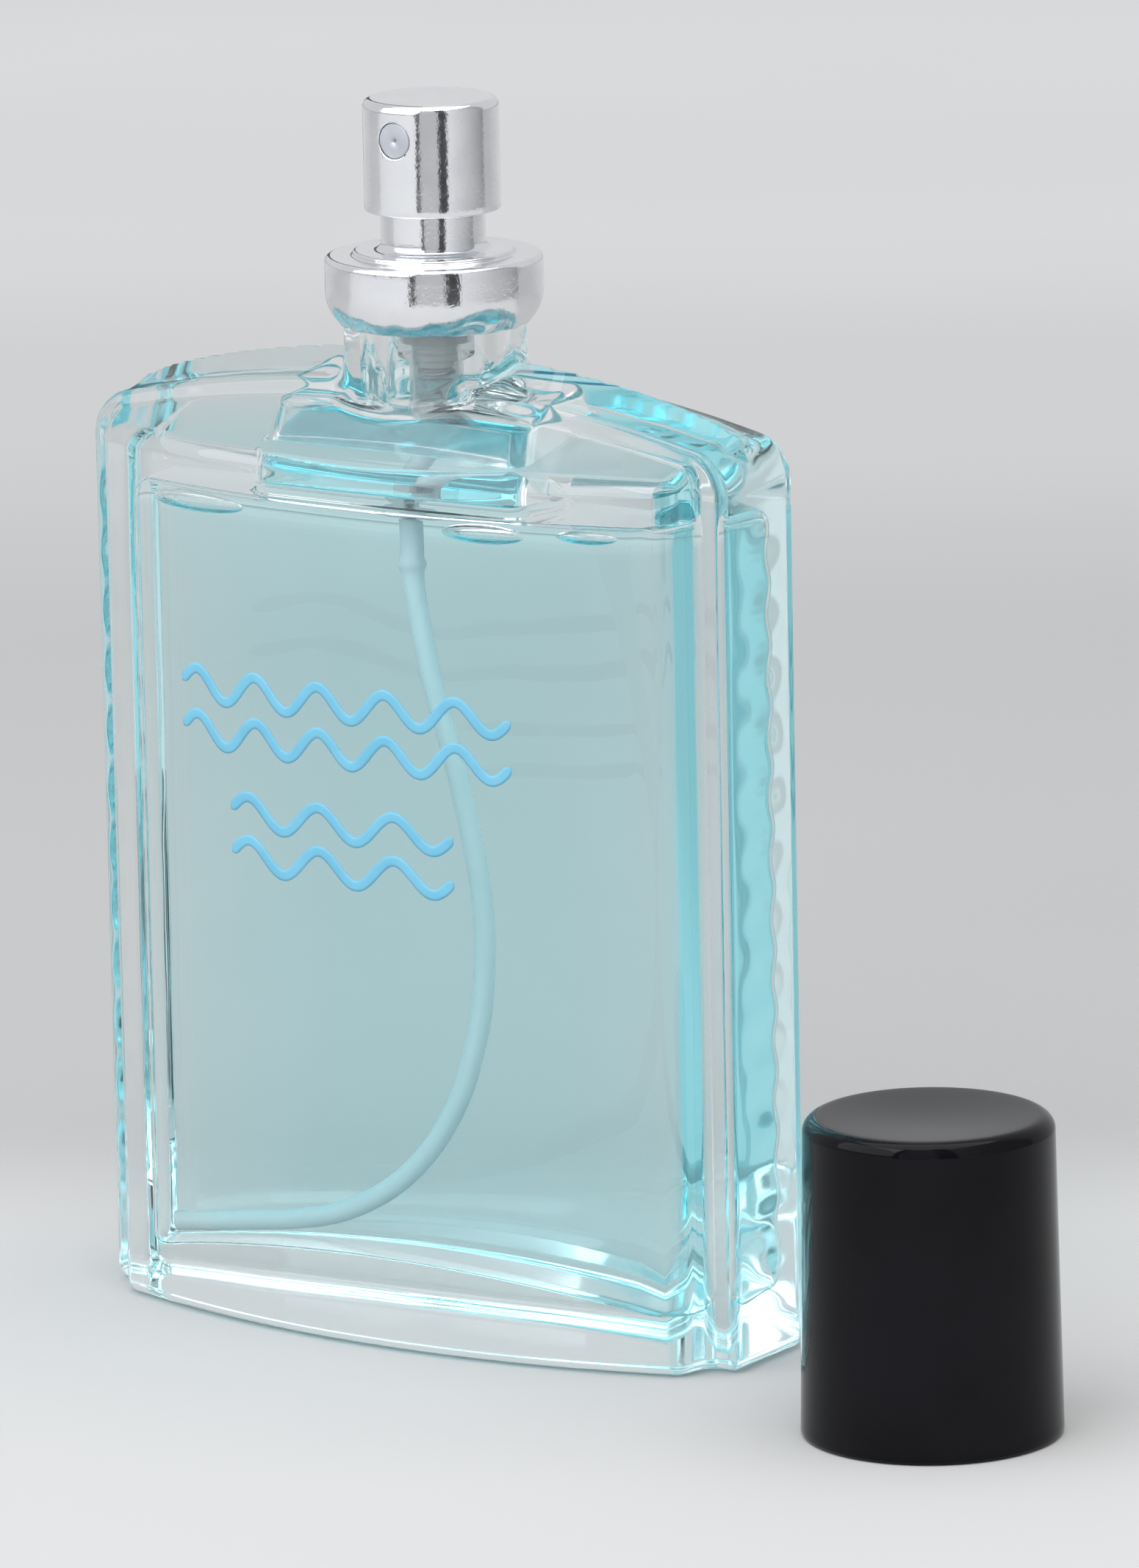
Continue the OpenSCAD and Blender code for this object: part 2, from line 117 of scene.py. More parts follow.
def slab_field(x, y, z):
    ax, ay = np.abs(x), np.abs(y)
    crown = np.hypot(x, z + CROWN_R - CROWN_H) - CROWN_R
    side = ax - HALF_W + dip(z, y, SIDE_FIRST, SIDE_DIMPLES, SIDE_DEPTH)
    top = crown + dip(ax, y, SHOULDER_FIRST, SHOULDER_DIMPLES, SHOULDER_DEPTH)
    slab = round_and(side, top, CORNER_R)
    return round_and(slab, ay - SIDE_Y, SLAB_EDGE_R)


def panel_field(x, y, z):
    """Both bowed panels with their drafted side edges and the slopes on top of them."""
    ax, ay = np.abs(x), np.abs(y)
    face = np.hypot(x, ay + ARC_Y) - FRONT_R
    draft, rise = PANEL_ROOT - PANEL_X, PANEL_Y - SIDE_Y
    edge = ((ax - PANEL_X) * rise + (ay - PANEL_Y) * draft) / math.hypot(rise, draft)
    top_y = np.maximum(np.sqrt(np.maximum(FRONT_R ** 2 - x ** 2, 0)) - ARC_Y, PANEL_Y)
    slope = sloped(ay, z, top_y, PANEL_H, SIDE_Y, crown_z(np.minimum(ax, PANEL_ROOT)) - LEDGE_H)
    panel = round_and(face, edge, PANEL_EDGE_R)
    return round_and(panel, slope, PANEL_EDGE_R)


def outer_field(x, y, z):
    shape = round_or(slab_field(x, y, z), panel_field(x, y, z), STEP_R)
    shape = round_and(shape, -z, HEEL_R)
    r = np.hypot(x, y)
    neck_r = np.interp(z, [101.6, 103.4, 105.4, FINISH_H], [NECK_R, BEAD_R, BEAD_R, BEAD_R - 0.6])
    neck = round_and(np.maximum(r - neck_r, CROWN_H - 8 - z), z - FINISH_H, 0.3)
    return round_or(shape, neck, 1.6)


def cavity_field(x, y, z):
    ax, ay = np.abs(x), np.abs(y)
    panel = np.hypot(x, ay + ARC_Y) - (FRONT_R - WALL)
    shape = round_and(panel, ax - CAVITY_X, CAVITY_R)
    shape = round_and(shape, z - ROOF_H, CAVITY_R)
    floor = FLOOR_R - np.hypot(x, z - FLOOR_H + FLOOR_R)
    shape = round_and(shape, floor, 1.6)
    chamber = round_and(ax - CHAMBER_X, ay - CHAMBER_Y, 2.0)
    chamber = round_and(chamber, z - CHAMBER_H, 2.0)
    chamber = np.maximum(chamber, ROOF_H - 6 - z)
    shape = round_or(shape, chamber, 1.0)
    bore = np.maximum(np.hypot(x, y) - BORE_R, FILL_H + 1 - z)
    return round_or(shape, bore, 1.0)


def glass_field(x, y, z):
    return round_and(outer_field(x, y, z), -cavity_field(x, y, z), 0.3)


def gradient(field, p, step=0.004):
    """Direction in which the field grows, at each row of p."""
    parts = []
    for axis in range(3):
        d = np.zeros(3)
        d[axis] = step
        parts.append(field(*(p + d).T) - field(*(p - d).T))
    g = np.stack(parts, 1) / (2 * step)
    return g


def on_surface(field, p, rounds=6):
    """The points p moved onto the surface where the field is 0."""
    for _ in range(rounds):
        g = gradient(field, p)
        size = np.maximum((g ** 2).sum(1), 0.05)
        move = np.clip(field(*p.T) / size, -0.4, 0.4)
        p = p - move[:, None] * g
    return p


def spaced(*stops):
    """Grid lines from (start, step) pairs, each up to the next start, and a last end."""
    lines = []
    for (start, step), after in zip(stops[:-1], stops[1:]):
        end = after[0] if isinstance(after, tuple) else after
        lines.append(np.linspace(start, end, max(1, round((end - start) / step)), endpoint=False))
    return np.append(np.concatenate(lines), stops[-1])


def mirrored(lines):
    """The same grid lines on both sides of 0."""
    return np.concatenate([-lines[:0:-1], lines])


def surface_net(field, xs, ys, zs):
    """Points and quads of the field's surface: one point in each grid cell that it crosses."""
    grid = np.meshgrid(xs, ys, zs, indexing="ij")
    value = field(*grid)
    inside = value < 0
    n = [len(xs) - 1, len(ys) - 1, len(zs) - 1]
    total, count = np.zeros(n + [3]), np.zeros(n)
    corner = np.stack(grid, -1)
    for axis in range(3):
        others = [a for a in range(3) if a != axis]
        low = [slice(None)] * 3
        high = [slice(None)] * 3
        low[axis], high[axis] = slice(0, -1), slice(1, None)
        va, vb = value[tuple(low)], value[tuple(high)]
        crossed = (va < 0) != (vb < 0)
        t = np.where(crossed, va / np.where(crossed, va - vb, 1), 0)[..., None]
        point = corner[tuple(low)] * (1 - t) + corner[tuple(high)] * t
        for i in (0, 1):
            for j in (0, 1):
                part = [slice(None)] * 3
                part[others[0]] = slice(i, i + n[others[0]])
                part[others[1]] = slice(j, j + n[others[1]])
                c = crossed[tuple(part)]
                total += np.where(c[..., None], point[tuple(part)], 0)
                count += c
    active = count > 0
    index = np.full(n, -1)
    index[active] = np.arange(active.sum())
    points = total[active] / count[active][:, None]
    quads = []
    for axis in range(3):
        u, v = (axis + 1) % 3, (axis + 2) % 3
        low = [slice(None)] * 3
        high = [slice(None)] * 3
        low[axis], high[axis] = slice(0, -1), slice(1, None)
        a, b = inside[tuple(low)], inside[tuple(high)]
        where = np.argwhere(a != b)
        keep = (where[:, u] > 0) & (where[:, u] < n[u]) & (where[:, v] > 0) & (where[:, v] < n[v])
        where = where[keep]
        out = a[tuple(where.T)]
        ring = []
        for du, dv in ((-1, -1), (0, -1), (0, 0), (-1, 0)):
            cell = where.copy()
            cell[:, u] += du
            cell[:, v] += dv
            ring.append(index[tuple(cell.T)])
        ring = np.stack(ring, 1)
        quads.append(np.where(out[:, None], ring, ring[:, ::-1]))
    return points, np.concatenate(quads)


# ---------------------------------------------------------------- mesh helpers

def new_object(name, mesh):
    piece = bpy.data.objects.new(name, mesh)
    bpy.context.scene.collection.objects.link(piece)
    return piece


def mesh_from(name, points, faces):
    """A mesh in metres from points in millimetres."""
    mesh = bpy.data.meshes.new(name)
    mesh.from_pydata((np.asarray(points, float) * MM).tolist(), [], [list(map(int, f)) for f in faces])
    mesh.validate()
    mesh.polygons.foreach_set("use_smooth", [True] * len(mesh.polygons))
    return mesh


def field_normals(mesh, field):
    """Gives the mesh the field's own smooth normals."""
    co = np.zeros(len(mesh.vertices) * 3)
    mesh.vertices.foreach_get("co", co)
    p = co.reshape(-1, 3) / MM
    g = gradient(field, p)
    g = g / np.maximum(np.linalg.norm(g, axis=1), 1e-9)[:, None]
    mesh.normals_split_custom_set_from_vertices(g.tolist())


def arc(cx, cz, r, a0, a1, n):
    """Points of an arc in the (radius, height) plane, degrees."""
    return [(cx + r * math.cos(math.radians(a0 + (a1 - a0) * i / n)),
             cz + r * math.sin(math.radians(a0 + (a1 - a0) * i / n))) for i in range(n + 1)]


def lathe(name, profile, segments=160, centre=(0, 0), wobble=None, closed=False):
    """A turned piece from (radius, height) points in mm; wobble(angle, r, z) may shift a radius."""
    points, faces, rings = [], [], []
    for r, z in profile:
        if r < 1e-6:
            rings.append([len(points)])
            points.append((centre[0], centre[1], z))
            continue
        ring = []
        for k in range(segments):
            a = 2 * math.pi * k / segments
            rr = wobble(a, r, z) if wobble else r
            ring.append(len(points))
            points.append((centre[0] + rr * math.cos(a), centre[1] + rr * math.sin(a), z))
        rings.append(ring)
    pairs = list(zip(rings[:-1], rings[1:])) + ([(rings[-1], rings[0])] if closed else [])
    for low, high in pairs:
        for k in range(segments):
            n = (k + 1) % segments
            if len(low) == 1 and len(high) == 1:
                continue
            if len(low) == 1:
                faces.append((low[0], high[n], high[k]))
            elif len(high) == 1:
                faces.append((low[k], low[n], high[0]))
            else:
                faces.append((low[k], low[n], high[n], high[k]))
    piece = new_object(name, mesh_from(name, points, faces))
    outward(piece)
    return piece


def outward(piece):
    bm = bmesh.new()
    bm.from_mesh(piece.data)
    bmesh.ops.recalc_face_normals(bm, faces=bm.faces)
    bm.to_mesh(piece.data)
    bm.free()


def weighted(piece):
    """Face-weighted normals, so that flats stay flat beside small rounds."""
    m = piece.modifiers.new("normals", "WEIGHTED_NORMAL")
    m.keep_sharp = False
    m.weight = 50


def tube_mesh(name, line, radius, bore, sides):
    """A tube along the points of line in mm; radius and bore tell their size along it, from 0 to 1."""
    points, faces = [], []
    normal = Vector((0, 1, 0))
    for size in (radius, bore):
        for i, p in enumerate(line):
            ahead = line[min(i + 1, len(line) - 1)] - line[max(i - 1, 0)]
            across = normal.cross(ahead).normalized()
            up = ahead.cross(across).normalized()
            r = size(i / (len(line) - 1))
            for k in range(sides):
                a = 2 * math.pi * k / sides
                points.append(p + r * (math.cos(a) * across + math.sin(a) * up))
    count = len(line) * sides

    def quad(base, i, k):
        n = (k + 1) % sides
        low, high = base + i * sides, base + (i + 1) * sides
        return [low + k, low + n, high + n, high + k]

    for i in range(len(line) - 1):
        for k in range(sides):
            faces.append(quad(0, i, k))
            faces.append(quad(count, i, k)[::-1])
    last = (len(line) - 1) * sides
    for k in range(sides):
        n = (k + 1) % sides
        faces.append([k, count + k, count + n, n])
        faces.append([last + k, last + n, count + last + n, count + last + k])
    piece = new_object(name, mesh_from(name, [tuple(p) for p in points], faces))
    outward(piece)
    return piece


# ---------------------------------------------------------------- materials

def base_material(name):
    mat = bpy.data.materials.new(name)
    mat.use_nodes = True
    nodes, links = mat.node_tree.nodes, mat.node_tree.links
    nodes.clear()
    out = nodes.new("ShaderNodeOutputMaterial")
    shader = nodes.new("ShaderNodeBsdfPrincipled")
    links.new(shader.outputs["BSDF"], out.inputs["Surface"])
    return mat, nodes, links, shader


def noise(nodes, links, scale, detail):
    where = nodes.new("ShaderNodeTexCoord")
    tex = nodes.new("ShaderNodeTexNoise")
    tex.inputs["Scale"].default_value = scale
    tex.inputs["Detail"].default_value = detail
    links.new(where.outputs["Object"], tex.inputs["Vector"])
    return tex


def varied(nodes, links, tex, low, high, socket):
    """Drives a number socket from a noise, between low and high."""
    span = nodes.new("ShaderNodeMapRange")
    span.inputs["From Min"].default_value = 0.3
    span.inputs["From Max"].default_value = 0.7
    span.inputs["To Min"].default_value = low
    span.inputs["To Max"].default_value = high
    links.new(tex.outputs["Fac"], span.inputs["Value"])
    links.new(span.outputs["Result"], socket)


def tinted(nodes, links, tex, dark, light, socket):
    ramp = nodes.new("ShaderNodeValToRGB")
    ramp.color_ramp.elements[0].position = 0.35
    ramp.color_ramp.elements[0].color = (*dark, 1)
    ramp.color_ramp.elements[1].position = 0.65
    ramp.color_ramp.elements[1].color = (*light, 1)
    links.new(tex.outputs["Fac"], ramp.inputs["Fac"])
    links.new(ramp.outputs["Color"], socket)


def bumped(nodes, links, tex, strength, distance, shader):
    bump = nodes.new("ShaderNodeBump")
    bump.inputs["Strength"].default_value = strength
    bump.inputs["Distance"].default_value = distance
    links.new(tex.outputs["Fac"], bump.inputs["Height"])
    links.new(bump.outputs["Normal"], shader.inputs["Normal"])


def clear_material(name, ior, rough=(0.0, 0.01), tint=None, density=0.0, wave=None):
    """A clear surface; with a density, the body inside it absorbs light on its way through."""
    mat, nodes, links, shader = base_material(name)
    shader.inputs["Transmission Weight"].default_value = 1.0
    shader.inputs["IOR"].default_value = ior
    tex = noise(nodes, links, 60.0, 3.0)
    tinted(nodes, links, tex, (0.99, 0.995, 0.995), (1, 1, 1), shader.inputs["Base Color"])
    varied(nodes, links, tex, *rough, shader.inputs["Roughness"])
    if wave:
        bumped(nodes, links, noise(nodes, links, wave[0], 1.0), wave[1], wave[2], shader)
    if density:
        volume = nodes.new("ShaderNodeVolumeAbsorption")
        volume.inputs["Color"].default_value = (*tint, 1)
        volume.inputs["Density"].default_value = density
        links.new(volume.outputs["Volume"], nodes["Material Output"].inputs["Volume"])
    return mat


def solid_material(name, dark, light, rough, scale, metallic=0.0, bump=None,
                   transmission=0.0, ior=1.5, specular=0.5):
    """A plastic, metal, rubber or ink with a fine variation of colour and gloss."""
    mat, nodes, links, shader = base_material(name)
    shader.inputs["Metallic"].default_value = metallic
    shader.inputs["Transmission Weight"].default_value = transmission
    shader.inputs["IOR"].default_value = ior
    shader.inputs["Specular IOR Level"].default_value = specular
    tex = noise(nodes, links, scale, 4.0)
    tinted(nodes, links, tex, dark, light, shader.inputs["Base Color"])
    varied(nodes, links, tex, *rough, shader.inputs["Roughness"])
    if bump:
        bumped(nodes, links, noise(nodes, links, bump[0], 2.0), bump[1], bump[2], shader)
    return mat


GLASS_TINT, GLASS_DENSITY = (0.30, 0.93, 0.98), 3.4
LIQUID_TINT, LIQUID_DENSITY = (0.12, 0.90, 0.975), 17.0
WAVE = (55.0, 0.25, 0.0006)       # faint unevenness of the glass: noise scale, strength, metres

M = {
    "glass": clear_material("clear_glass", 1.5, (0.01, 0.03), wave=WAVE),
    "pressed": clear_material("pressed_glass", 1.5, (0.05, 0.10), wave=WAVE),
    "wet": clear_material("glass_to_liquid", 1.5 / 1.36),
    "glass_body": clear_material("glass_body", 1.0, (0.0, 0.001), GLASS_TINT, GLASS_DENSITY),
    "liquid_top": clear_material("liquid_surface", 1.36),
    "bubble": clear_material("air_in_liquid", 1 / 1.36),
    "liquid": clear_material("liquid_body", 1.0, (0.0, 0.001), LIQUID_TINT, LIQUID_DENSITY),
    "ink": solid_material("print_ink", (0.145, 0.43, 0.60), (0.175, 0.47, 0.64), (0.4, 0.55), 300.0,
                          specular=0.25),
    "chrome": solid_material("silver_aluminium", (0.83, 0.84, 0.87), (0.88, 0.89, 0.91), (0.09, 0.15), 400.0,
                             metallic=1.0, bump=(2400.0, 0.3, 0.00005)),
    "insert": solid_material("nozzle_plastic", (0.50, 0.52, 0.57), (0.56, 0.58, 0.63), (0.3, 0.42), 500.0,
                             metallic=0.6),
    "frost": solid_material("frosted_plastic", (0.80, 0.86, 0.87), (0.85, 0.90, 0.91), (0.04, 0.08), 200.0,
                            transmission=0.8, ior=1.1),
    "tube": solid_material("tube_plastic", (0.96, 0.99, 1.0), (0.99, 1.0, 1.0), (0.3, 0.42), 200.0,
                           transmission=0.3, ior=1.02, specular=0.1),
    "white": solid_material("white_plastic", (0.78, 0.79, 0.78), (0.86, 0.86, 0.85), (0.35, 0.5), 220.0),
    "rubber": solid_material("gasket_rubber", (0.20, 0.20, 0.21), (0.27, 0.27, 0.28), (0.55, 0.7), 300.0),
    "steel": solid_material("spring_steel", (0.36, 0.37, 0.39), (0.48, 0.49, 0.51), (0.18, 0.3), 900.0,
                            metallic=1.0),
    "black": solid_material("black_gloss", (0.003, 0.003, 0.004), (0.005, 0.005, 0.007), (0.06, 0.12), 90.0,
                            bump=(35.0, 0.08, 0.0004), specular=0.13),
    "liner": solid_material("liner_plastic", (0.010, 0.010, 0.012), (0.018, 0.018, 0.021), (0.4, 0.55),
                            200.0),
}


def finish_piece(piece, body, slot, material, *nodes):
    """Gives a piece its material, hides the CAD nodes that it takes the place of and rides it on its body."""
    if material:
        piece.data.materials.clear()
        piece.data.materials.append(M[material])
    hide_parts(*nodes)
    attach(piece, body)
    return piece


def keep_node(name, material):
    """A CAD node whose shape is right as it is only gets a material."""
    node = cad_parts[name]
    node.data.materials.clear()
    node.data.materials.append(M[material])


# ---------------------------------------------------------------- glass and liquid

def make_glass():
    xs = mirrored(spaced((0, 0.8), (13, 0.5), (17.5, 0.8), (27, 0.45), (32.5, 0.28), 38.4))
    ys = mirrored(spaced((0, 0.6), (5, 0.3), (7.6, 0.45), (9.2, 0.3), (11, 0.5), 16.8))
    zs = spaced((-0.6, 0.3), (2.4, 0.5), (12, 0.8), (80, 0.4), (98, 0.5), 106.5)
    points, quads = surface_net(glass_field, xs, ys, zs)
    points = on_surface(glass_field, points)
    mesh = mesh_from("bottle_glass", points, quads)
    bm = bmesh.new()
    bm.from_mesh(mesh)
    cut = Vector((0, 0, (FILL_H + MENISCUS) * MM))
    inner = [f for f in bm.faces if abs(f.calc_center_median().z - cut.z) < 1.2 * MM
             and cavity_side(f.calc_center_median())]
    geom = list({v for f in inner for v in f.verts} | {e for f in inner for e in f.edges}) + inner
    bmesh.ops.bisect_plane(bm, geom=geom, dist=1e-7, plane_co=cut, plane_no=(0, 0, 1))
    for f in bm.faces:
        c = f.calc_center_median()
        if cavity_side(c):
            f.material_index = 1 if c.z < cut.z else 0
        else:
            f.material_index = 2 if pressed_side(c) else 0
        f.smooth = True
    bm.to_mesh(mesh)
    bm.free()
    piece = new_object("bottle_glass", mesh)
    field_normals(mesh, glass_field)
    mesh.materials.append(M["glass"])
    mesh.materials.append(M["wet"])
    mesh.materials.append(M["pressed"])
    return piece


def pressed_side(c):
    """True on the softer pressed faces: the dimpled sides, the shoulders and the heel."""
    x, z = abs(c.x) / MM, c.z / MM
    return x > PANEL_ROOT or z < HEEL_R or PANEL_H < z < CROWN_H


def cavity_side(c):
    """True where a surface point in metres lies on the cavity's wall."""
    x, y, z = c.x / MM, c.y / MM, c.z / MM
    return abs(float(cavity_field(x, y, z))) < abs(float(outer_field(x, y, z)))


def add_body(glass):
    """The glass's own absorbing body: a plainer closed shell a hair inside its surface."""
    inset = 0.06

    def body_field(x, y, z):
        return glass_field(x, y, z) + inset
    xs = mirrored(spaced((0, 2.0), (28, 1.2), 38.4))
    ys = mirrored(spaced((0, 1.4), (5, 0.9), 16.8))
    zs = spaced((-0.6, 1.0), (12, 2.4), (80, 1.2), 106.5)
    points, quads = surface_net(body_field, xs, ys, zs)
    points = on_surface(body_field, points)
    shell = new_object("shell", mesh_from("shell", points, quads))
    shell.data.materials.append(M["glass_body"])
    join(glass, shell)


def join(piece, other):
    with bpy.context.temp_override(active_object=piece, object=piece, selected_objects=[piece, other],
                                   selected_editable_objects=[piece, other]):
        bpy.ops.object.join()


def make_liquid(glass):
    """The liquid follows the wetted wall with a hair of clearance and has a curved rim on top.

    Its body only absorbs light. A thin skin over it is the surface that the eye sees."""
    gap, skin = 0.04, 0.03
    bm = bmesh.new()
    bm.from_mesh(glass.data)
    bmesh.ops.delete(bm, geom=[f for f in bm.faces if f.material_index != 1], context="FACES")
    co = np.array([v.co for v in bm.verts]) / MM
    g = gradient(cavity_field, co)
    g /= np.linalg.norm(g, axis=1)[:, None]
    for v, d in zip(bm.verts, g):
        v.co -= Vector(d) * gap * MM
    for f in bm.faces:
        f.material_index = 0
    rim = [e for e in bm.edges if e.is_boundary]
    for v in {v for e in rim for v in e.verts}:
        v.co.z = (FILL_H + MENISCUS) * MM
    cap = bmesh.ops.edgeloop_fill(bm, edges=rim)["faces"]
    rings = list(cap)
    for width, drop in MENISCUS_STEPS:
        rings += bmesh.ops.inset_region(bm, faces=cap, thickness=width * MM, depth=0)["faces"]
        for v in {v for f in cap for v in f.verts}:
            v.co.z -= drop * MM
    bmesh.ops.recalc_face_normals(bm, faces=bm.faces)
    top = [f for f in set(rings) if f.is_valid]
    copy = bmesh.ops.duplicate(bm, geom=top)
    lower = [f for f in copy["geom"] if isinstance(f, bmesh.types.BMFace)]
    upper = bmesh.ops.extrude_face_region(bm, geom=lower)
    for v in [v for v in upper["geom"] if isinstance(v, bmesh.types.BMVert)]:
        v.co.z += 2 * skin * MM
    for v in {v for f in lower if f.is_valid for v in f.verts}:
        v.co.z += skin * MM
    for f in upper["geom"]:
        if isinstance(f, bmesh.types.BMFace):
            f.material_index = 1
    bmesh.ops.recalc_face_normals(bm, faces=bm.faces)
    for f in bm.faces:
        f.smooth = True
    mesh = bpy.data.meshes.new("liquid_fill")
    bm.to_mesh(mesh)
    bm.free()
    mesh.materials.append(M["liquid"])
    mesh.materials.append(M["liquid_top"])
    return new_object("liquid_fill", mesh)


# Flat air bubbles under the cavity's roof, as (x, y, half width, half depth, half height), and their gap
BUBBLES = [(-21.5, -7.6, 5.6, 1.6, 1.2), (12.5, -9.2, 4.6, 1.5, 1.1), (23.0, -7.0, 3.4, 1.3, 0.8)]
BUBBLE_GAP = 0.25


def add_bubbles(liquid):
    for x, y, half_x, half_y, half_z in BUBBLES:
        bm = bmesh.new()
        bmesh.ops.create_uvsphere(bm, u_segments=48, v_segments=24, radius=1.0)
        for v in bm.verts:
            v.co = Vector((x + half_x * v.co.x, y + half_y * v.co.y,
                           ROOF_H - BUBBLE_GAP - half_z * (1 - v.co.z))) * MM
        for f in bm.faces:
            f.smooth = True
        mesh = bpy.data.meshes.new("bubble")
        bm.to_mesh(mesh)
        bm.free()
        mesh.materials.append(M["bubble"])
        join(liquid, new_object("bubble", mesh))


glass = make_glass()
liquid = make_liquid(glass)
add_bubbles(liquid)
add_body(glass)
finish_piece(glass, "bottle", "clear_glass", None, "glass_bottle")
finish_piece(liquid, "bottle", "fragrance", None, "fragrance_liquid")


# ---------------------------------------------------------------- printed waves

INK = 0.07
WAVE_X = -2.2
LINE_W = 1.1


def make_print():
    """Four ribbons that wave across the bowed front, as one printed layer."""
    points, faces = [], []
    for length, waves, height in ((40, 5, 65.2), (40, 5, 60.6), (27, 3, 53), (27, 3, 48.6)):
        steps, across = 44 * waves, 4
        first = len(points)
        for i in range(steps + 1):
            s = i / steps
            x = WAVE_X + length * (s - 0.5)
            z = height + 1.5 * math.sin(2 * math.pi * waves * s)
            lean = Vector((length, 3 * math.pi * waves * math.cos(2 * math.pi * waves * s))).normalized()
            ends = min(s, 1 - s) * length
            half = LINE_W / 2 * math.sqrt(max(1 - max(1 - ends / (LINE_W / 2), 0) ** 2, 0.02))
            for layer in (INK, -0.03):
                for k in range(across + 1):
                    w = half * (2 * k / across - 1)
                    px, pz = x - w * lean.y, z + w * lean.x
                    lift = layer - (0.03 if k in (0, across) and layer > 0 else 0)
                    r = FRONT_R + lift
                    a = px / FRONT_R
                    points.append((r * math.sin(a), ARC_Y - r * math.cos(a), pz))
        row = 2 * (across + 1)
        loop = list(range(across + 1)) + list(range(row - 1, across, -1))
        for i in range(steps):
            for k in range(row):
                n = (k + 1) % row
                faces.append((first + i * row + loop[k], first + i * row + loop[n],
                              first + (i + 1) * row + loop[n], first + (i + 1) * row + loop[k]))
        faces.append([first + v for v in loop])
        faces.append([first + steps * row + v for v in loop[::-1]])
    piece = new_object("wave_print", mesh_from("wave_print", points, faces))
    outward(piece)
    return piece


finish_piece(make_print(), "bottle", "print_ink", "ink", "front_print")


# ---------------------------------------------------------------- collar, actuator and nozzle

SHEET = 0.4
COLLAR_R, COLLAR_TOP, CRIMP_START = 10.8, 107.9, 104.4
TURRET_R, STEP_TOP, TURRET_TOP, COLLAR_HOLE = 5.16, 108.4, 113.5, 1.9
ACTUATOR_R, ACTUATOR_LOW, ACTUATOR_TOP = 6.73, 112.4, 123.5
NOZZLE_H, NOZZLE_R = 120.0, 1.75
HOLE_R = NOZZLE_R + 0.06
TINY = 0.004              # points of the hole's rim this close count as one
FLUTES, FLUTE_TOP, FLUTE_DEPTH = 16, 103.2, 0.26


def collar_profile():
    out = [(COLLAR_HOLE, TURRET_TOP - 0.05), (COLLAR_HOLE + 0.05, TURRET_TOP)]
    out += [(3.2, TURRET_TOP)]
    out += arc(TURRET_R - 0.6, TURRET_TOP - 0.6, 0.6, 90, 0, 8)
    out += [(TURRET_R, h) for h in np.linspace(TURRET_TOP - 1.6, STEP_TOP + 1.6, 4)]
    out += arc(TURRET_R + 0.9, STEP_TOP + 0.9, 0.9, 180, 270, 8)
    out += arc(7.7, STEP_TOP - 0.3, 0.3, 90, 0, 5)
    out += arc(8.25, COLLAR_TOP + 0.25, 0.25, 180, 270, 4)
    out += [(9.3, COLLAR_TOP)]
    out += arc(COLLAR_R - 0.6, COLLAR_TOP - 0.6, 0.6, 90, 0, 8)
    out += [(COLLAR_R, 106.5), (COLLAR_R, 105.6), (COLLAR_R, 104.9), (COLLAR_R, CRIMP_START), (10.77, 103.9),
            (10.66, 103.3), (10.5, 102.8), (10.28, 102.3), (10.02, 101.9), (9.75, 101.55),
            (9.55, 101.3), (9.38, 101.12), (9.28, 101.1), (9.2, 101.2), (9.18, 101.38)]
    out += [(9.45, 101.8), (9.93, 102.5), (10.28, 103.4), (COLLAR_R - SHEET, CRIMP_START),
            (COLLAR_R - SHEET, 107.1), (10, 107.5), (TURRET_R + 0.5, 107.5), (TURRET_R - SHEET, 108.4),
            (TURRET_R - SHEET, TURRET_TOP - SHEET), (COLLAR_HOLE, TURRET_TOP - SHEET)]
    return out


def crimp(a, r, z):
    """The rim's flutes: shallow scallops that grow towards the lower edge."""
    depth = FLUTE_DEPTH * max(0.0, min(1.0, (FLUTE_TOP - z) / 2.0)) ** 1.5
    wave = 0.5 - 0.5 * math.cos(FLUTES * a)
    return r - depth * wave ** 2


collar = lathe("crimp_collar", collar_profile(), 320, wobble=crimp, closed=True)
weighted(collar)
finish_piece(collar, "bottle", "silver_aluminium", "chrome", "crimp_ferrule")


